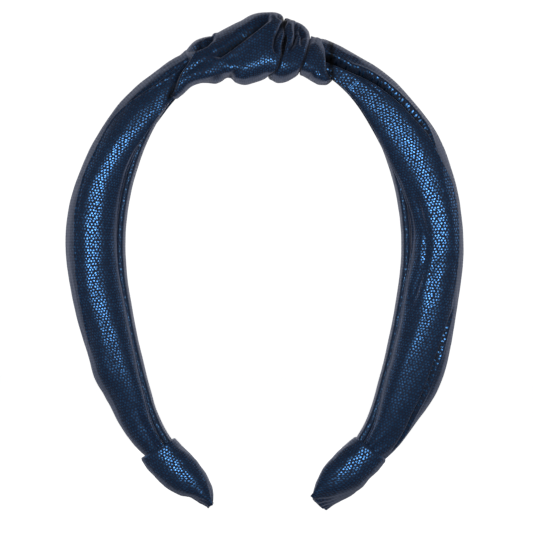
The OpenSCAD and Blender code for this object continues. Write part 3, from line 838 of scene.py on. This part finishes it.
def knot_fold(name, turns, plump, lift, cols=None, inner=3.2, rows=84, pull=1.7, proud=0.0,
              low_front=0.0, also=()):
    """One fold of the knot, for the solid of that name and any others in also. turns gives its
    left and right edge in front, then behind, in degrees by share of height. plump and lift
    raise it in mm, inner is the depth of its lining, and its edges roll under over a width of
    pull. In front, proud raises its left edge and low_front sinks it. cols picks a part of the
    way round the section."""
    part = np.arange(ROUND) if cols is None else np.array(cols) % ROUND
    y_share, u_share = section[part, 0], section[part, 1]
    across = np.concatenate([np.linspace(0, 1, rows), np.linspace(1, 0, 12)[1:-1]])
    outside = np.arange(len(across)) < rows
    grid = np.zeros((len(across), len(part), 3))
    flat = np.zeros((len(across) + 1, len(part) + (cols is None), 2))
    # Painted shade: 1 on the hidden lining rows, and on the outside along rolled edges and in
    # pleats.
    painted_shade = np.ones(grid.shape[:2])
    front = np.clip(0.5 - y_share * 1.2, 0, 1)
    front = front * front * (3 - 2 * front)
    first, last = (turns[k](u_share) * front + turns[k + 2](u_share) * (1 - front)
                   for k in range(2))
    for k, t in enumerate(across):
        span = (last - first) * 0.85                     # mm, near enough for the edges
        from_edge = np.minimum(t, 1 - t) * span
        if outside[k]:
            roll = np.clip(1 - from_edge / pull, 0, 1)
            sink = pull * (1 - np.sqrt(1 - roll**2)) * 1.25
            sink = sink - plump * np.sin(math.pi * t) ** 0.8 - lift
            facing = np.clip(-1.4 * y_share, 0, 1)
            sink = sink + (low_front - proud * np.exp(-t * span / 5)) * facing
            painted_shade[k] = 0.9 * np.clip(1 - from_edge / 0.8, 0, 1)
        else:
            sink = np.full(len(part), inner)
            edge = 1.2 / span
            t = np.clip(t, edge, 1 - edge)
        if cols is not None:
            near_end = np.minimum(np.arange(len(part)), len(part) - 1 - np.arange(len(part)))
            roll = np.clip(1 - near_end / 5.0, 0, 1)
            sink = sink + (1 - np.sqrt(1 - roll**2)) * 2.0 * outside[k]
        turn = first + (last - first) * t
        top, low = through(KNOT_TOP, turn), through(KNOT_LOW, turn)
        wide = through(KNOT_HALF_W, turn)
        mid, high = (top + low) / 2, (top - low) / 2
        y, n = y_share * wide, low + u_share * (top - low)
        out_y, out_n = y / wide, (n - mid) / high * 0.9
        size = np.hypot(out_y, out_n) + 1e-6
        y = y - sink * out_y / size
        n = n - sink * out_n / size
        grid[k] = knot_place(turn, y, n)
        around = lengths_along(np.stack([y, n], -1))
        middle = np.argmin(y_share)
        around = around - around[middle]
        if cols is None:
            around = np.append(around, 2 * around[-1] - around[-2])
            turn = np.append(turn, turn[0])
        flat[k] = np.stack([around, np.radians(turn) * KNOT_MIDDLE_R], -1)
    flat[-1] = flat[0]
    normals = outward(grid, grid.mean((0, 1)), cols is None)
    wrinkle = np.array([[0.14 * noise.noise(Vector(p) / 3.2) + 0.10 * noise.noise(Vector(p) / 7)
                         for p in row] for row in grid])
    settled = np.clip(np.minimum(across, 1 - across) * 30, 0, 1)[:, None]
    folded, wear_and_painted_shade = pleated(grid)
    painted_shade += wear_and_painted_shade
    move = (folded + wrinkle) * settled * outside[:, None]
    grid = grid + normals * move[:, :, None]
    piece = cloth_piece(name + "_cloth", grid, flat, knot_cloth, round_rows=True,
                        round_cols=cols is None, painted_shade=painted_shade)
    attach(piece, "crown")
    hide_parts(name, *also)


def edge(*points):
    """An edge of a fold: its turn in degrees, by share of the knot's height."""
    return lambda u: through(points, u)


front_left = edge((0.0, -50.8), (0.1, -49.6), (0.35, -43.6), (0.55, -37.0), (0.77, -29.3),
                  (1, -20))
back_left = edge((0.0, -44.0), (0.35, -41.0), (0.7, -34.0), (1, -19))
centre_left = edge((0.0, 3.2), (0.1, 6.6), (0.34, 8.7), (0.63, 9.1), (0.86, 8.2), (1, 7.6))
centre_left_back = edge((0.0, 2.6), (0.4, 7.5), (1, 7.6))
collar_left = edge((0.0, 19.5), (0.5, 19.8), (1, 19.2))
collar_right = edge((0.0, 36.2), (0.2, 35.0), (0.45, 31.5), (0.75, 28.4), (1, 25.5))
tuck_left_front = edge((0.0, -44.0), (0.35, -38.0), (0.6, -33.0), (0.8, -32.5), (1, -33.5))
tuck_left_back = edge((0.0, -45.0), (0.5, -44.0), (1, -34.0))
tuck_right = edge((0, -22), (1, -15))
front_cols = range(-2, SEAM_AT + 1)              # the two passes overlap a little at the crest
back_cols = range(SEAM_AT + 1, ROUND + 3)

knot_fold("knot_left_tuck", (tuck_left_front, tuck_right, tuck_left_back, tuck_right),
          0.3, -0.4, low_front=1.2)
knot_fold("knot_front_pass", (front_left, centre_left, front_left, centre_left),
          0.25, 0.0, front_cols, pull=1.3, proud=1.3, also=("knot_filling",))
knot_fold("knot_back_pass", (back_left, centre_left_back, back_left, centre_left_back),
          0.25, -0.2, back_cols)
knot_fold("knot_centre_wrap", (centre_left, collar_left, centre_left_back, collar_left),
          0.2, 0.0, rows=60, pull=1.3)
knot_fold("knot_right_collar", (collar_left, collar_right, collar_left, collar_right),
          0.2, 0.0, inner=1.1, rows=60, pull=1.25)

# ---- Tip caps ----
# A short pocket of the same cloth, pulled over the end of the leg with its cut edge turned in,
# pressed flat at the end and sewn across.

cap_cloth = foil_cloth("cap_cloth", NAVY, FOIL, 0.33, 0.25)
CAP_COLS = 160
CAP_MIN_T = 1.15                 # half the cap's thickness where it is pressed flat
CAP_LINING, LINING_INSET = 7.0, 0.75             # its edge turned in: how deep, and how thick
# By length: the cap's inner and outer line as seen in front, its half width front to back, and
# its foremost line. twist is how far its flat end turns, in degrees.
CAPS = {
    "left": {
        "side": -1, "skew": -1.0,
        "inner": ((167, -3.0), (171, -3.3), (176, -3.6), (182, -3.2), (186, -2.3), (190, -0.6),
                  (192.6, 1.4), (194.4, 3.4)),
        "outer": ((167, 11.2), (171, 11.3), (176, 11.1), (180, 10.7), (184, 9.4), (187.3, 7.4),
                  (191, 6.2), (194.4, 5.2)),
        "half_w": ((167, 10.4), (176, 10.6), (184, 10.4), (190, 9.6), (194.4, 8.6)),
        "twist": 3,
        "face": ((167, 2.8), (176, 3.4), (186, 3.9), (194.4, 4.3)),
    },
    "right": {
        "side": 1, "skew": 1.0,
        "inner": ((167, -2.4), (170, -3.1), (174, -3.7), (179, -3.7), (184.5, -3.1),
                  (188, -1.7), (191.2, -0.4), (193.6, 0.2)),
        "outer": ((167, 11.4), (170, 11.4), (174, 11.1), (178, 11.3), (183.5, 10.5),
                  (188, 9.0), (191, 8.4), (193.6, 8.2)),
        "half_w": ((167, 10.4), (176, 10.6), (184, 10.2), (190, 9.0), (193.6, 8.0)),
        "twist": 28,
        "face": ((167, 4.2), (176, 4.2), (184, 5.0), (193.6, 6.0)),
    },
}


def tip_cap(which):
    """One cap, from the lining inside its mouth, over the mouth, to its flat end."""
    spec = CAPS[which]
    side = spec["side"]
    first, last = spec["inner"][0][0], spec["inner"][-1][0]
    outer_s = np.concatenate([first + 0.35 * (1 - np.cos(np.linspace(0, math.pi / 2, 5))),
                              np.linspace(first + 0.6, last, 110)])
    lining_s = np.linspace(first + CAP_LINING, first + 0.25, 16)
    stations = [(s, LINING_INSET) for s in lining_s] + [(s, 0.0) for s in outer_s]
    angle = np.linspace(0, math.tau, CAP_COLS, endpoint=False)
    rows, flat = [], []
    for k, (s, inset) in enumerate(stations):
        low, top = through(spec["inner"], s), through(spec["outer"], s)
        half_w = through(spec["half_w"], s)
        share = np.clip((s - first) / (last - first), 0, 1)
        flatness = share**3
        turned = math.radians(spec["twist"]) * share**2
        rise = half_w * math.sin(turned)         # what the twist adds between the two lines
        thick = math.sqrt(max(CAP_MIN_T**2, ((top - low) / 2) ** 2 - rise**2))
        power = 0.78 + 0.2 * flatness
        mouth = 0.35 * max(0, 1 - (s - first) / 0.6) if inset == 0 else inset
        c, v = np.cos(angle), np.sin(angle)
        y = (half_w - mouth) * np.sign(c) * np.abs(c) ** power
        n = (thick - mouth) * np.sign(v) * np.abs(v) ** power
        middle = (low + top) / 2
        # the broad front leans: its foremost line lies nearer the core than the middle
        lean = (through(spec["face"], s) - middle) * (1 - flatness)
        n = n + lean * (1 - (n / thick) ** 2) * np.abs(y) / half_w
        if share > 0.72:
            fray = (share - 0.72) / 0.28
            n = n + 0.35 * fray * np.sin(y * 1.9 + k / 15) * (1 - 0.4 * np.abs(v))
        y, n = y * math.cos(turned), n * math.cos(turned) + y * math.sin(turned)
        end = last - s
        bow = np.zeros(CAP_COLS)
        if end < 4:
            bow = (1 - end / 4) * (0.5 * np.cos(y / half_w * 3.0) - 0.5
                                   + 1.1 * (np.abs(y) / half_w) ** 6)
        skewed = 0.05 * spec["skew"] * (n - middle) * max(0, 1 - share * 3)
        rows.append(on_band(side, s + bow + skewed, y, middle + n))
        around = lengths_along(np.concatenate([np.stack([y, n], -1), [[y[0], n[0]]]]))
        run = s if inset == 0 else 2 * first - s
        flat.append(np.stack([around, np.full(CAP_COLS + 1, run)], -1))
    grid, flat = np.array(rows), np.array(flat)
    normals = outward(grid, grid.mean(1, keepdims=True))
    outside = (np.arange(len(stations)) > len(lining_s) + 2)[:, None]
    wrinkle = np.array([[0.22 * noise.noise((p[0] / 4, p[1] / 6, p[2] / 4))
                         + 0.10 * noise.noise((p[0] / 1.8, p[1] / 2.4, p[2] / 1.8))
                         for p in row] for row in grid])
    grid = grid + normals * (wrinkle * outside)[:, :, None]
    piece = cloth_piece("cap_cloth_" + which, grid, flat, cap_cloth)
    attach(piece, which + "_leg")
    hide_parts("cap_" + which)


for which in CAPS:
    tip_cap(which)

# ---- Sewing thread ----
# Navy polyester thread in two plies: seven tacks under the knot close the seam between its long
# passes, and four stitches cross the flat end of each cap.

thread_look, ply, strand = principled("sewing_thread")
lie = made(ply, "UVMap", uv_map="cloth")
twist = made(ply, "TexWave", {"Vector": lie, "Scale": 1.6, "Distortion": 0.6}, "Fac",
             wave_type="BANDS", bands_direction="DIAGONAL")
feed(ply, strand, {
    "Base Color": made(ply, "Mix", {0: twist, "A": (0.006, 0.012, 0.035, 1),
                                    "B": (0.02, 0.035, 0.085, 1)}, "Result", data_type="RGBA"),
    "Roughness": 0.55,
    "Sheen Weight": 0.4,
    "Sheen Roughness": 0.4,
    "Normal": made(ply, "Bump", {"Strength": 0.6, "Distance": 0.0001, "Height": twist}),
})
THREAD_R = 0.25


def thread_loops(name, loops, body):
    """Closed loops of thread, each given by its centre and two arms in mm, for the stitches of
    that name."""
    along, around = 28, 8
    verts, faces, spots = [], [], []
    for centre, arm_a, arm_b in loops:
        base = len(verts)
        centre, arm_a, arm_b = (np.array(v, float) for v in (centre, arm_a, arm_b))
        axis = np.cross(arm_a, arm_b)
        axis /= np.linalg.norm(axis)
        for i in range(along):
            a = math.tau * i / along
            spoke = math.cos(a) * arm_a + math.sin(a) * arm_b
            out_dir = spoke / np.linalg.norm(spoke)
            for j in range(around):
                b = math.tau * j / around
                r = THREAD_R * (1 + 0.12 * math.sin(2 * b + 5 * a))
                verts.append(centre + spoke + r * (math.cos(b) * out_dir + math.sin(b) * axis))
        for i in range(along):
            for j in range(around):
                i2, j2 = (i + 1) % along, (j + 1) % around
                faces.append((base + i * around + j, base + i2 * around + j,
                              base + i2 * around + j2, base + i * around + j2))
                spots += [(i, j), (i + 1, j), (i + 1, j + 1), (i, j + 1)]
    mesh = bpy.data.meshes.new(name + "_thread")
    mesh.from_pydata([tuple(v * MM) for v in verts], [], faces)
    layer = mesh.uv_layers.new(name="cloth")
    layer.uv.foreach_set("vector", (np.array(spots, np.float32) * THREAD_R).ravel())
    mesh.shade_smooth()
    mesh.materials.append(thread_look)
    piece = placed(name + "_thread", mesh)
    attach(piece, body)
    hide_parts(name)


TACKS, TACK_STEP = 7, 4          # how many, and the turn from one to the next
tacks = []
for k in range(TACKS):
    turn = -11.5 + (k - 3) * TACK_STEP
    low = through(KNOT_LOW, turn)
    spot = knot_place(turn, 0.6, low + 0.75)
    up = np.array([math.sin(math.radians(turn)), 0, math.cos(math.radians(turn))])
    tacks.append((spot, (0, 1.4, 0), up * 0.6))
thread_loops("knot_stitches", tacks, "crown")
END_STITCHES, END_STITCH_STEP = 4, 3.6
for which, spec in CAPS.items():
    s = spec["inner"][-1][0] - 1.7
    loops = []
    for k in range(END_STITCHES):
        y = (k - 1.5) * END_STITCH_STEP
        lift = y * math.sin(math.radians(spec["twist"]))
        n = (through(spec["inner"], s) + through(spec["outer"], s)) / 2 + lift
        spot, beyond = on_band(spec["side"], s, y, n), on_band(spec["side"], s + 1, y, n)
        over = on_band(spec["side"], s, y, n + 1) - spot
        loops.append((spot, (beyond - spot) * 0.9, over * 1.1))
    thread_loops("cap_stitches_" + which, loops, which + "_leg")

# ---- Finished size ----
# The finished band's box; the CAD model's box was found at the start.

low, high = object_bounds()
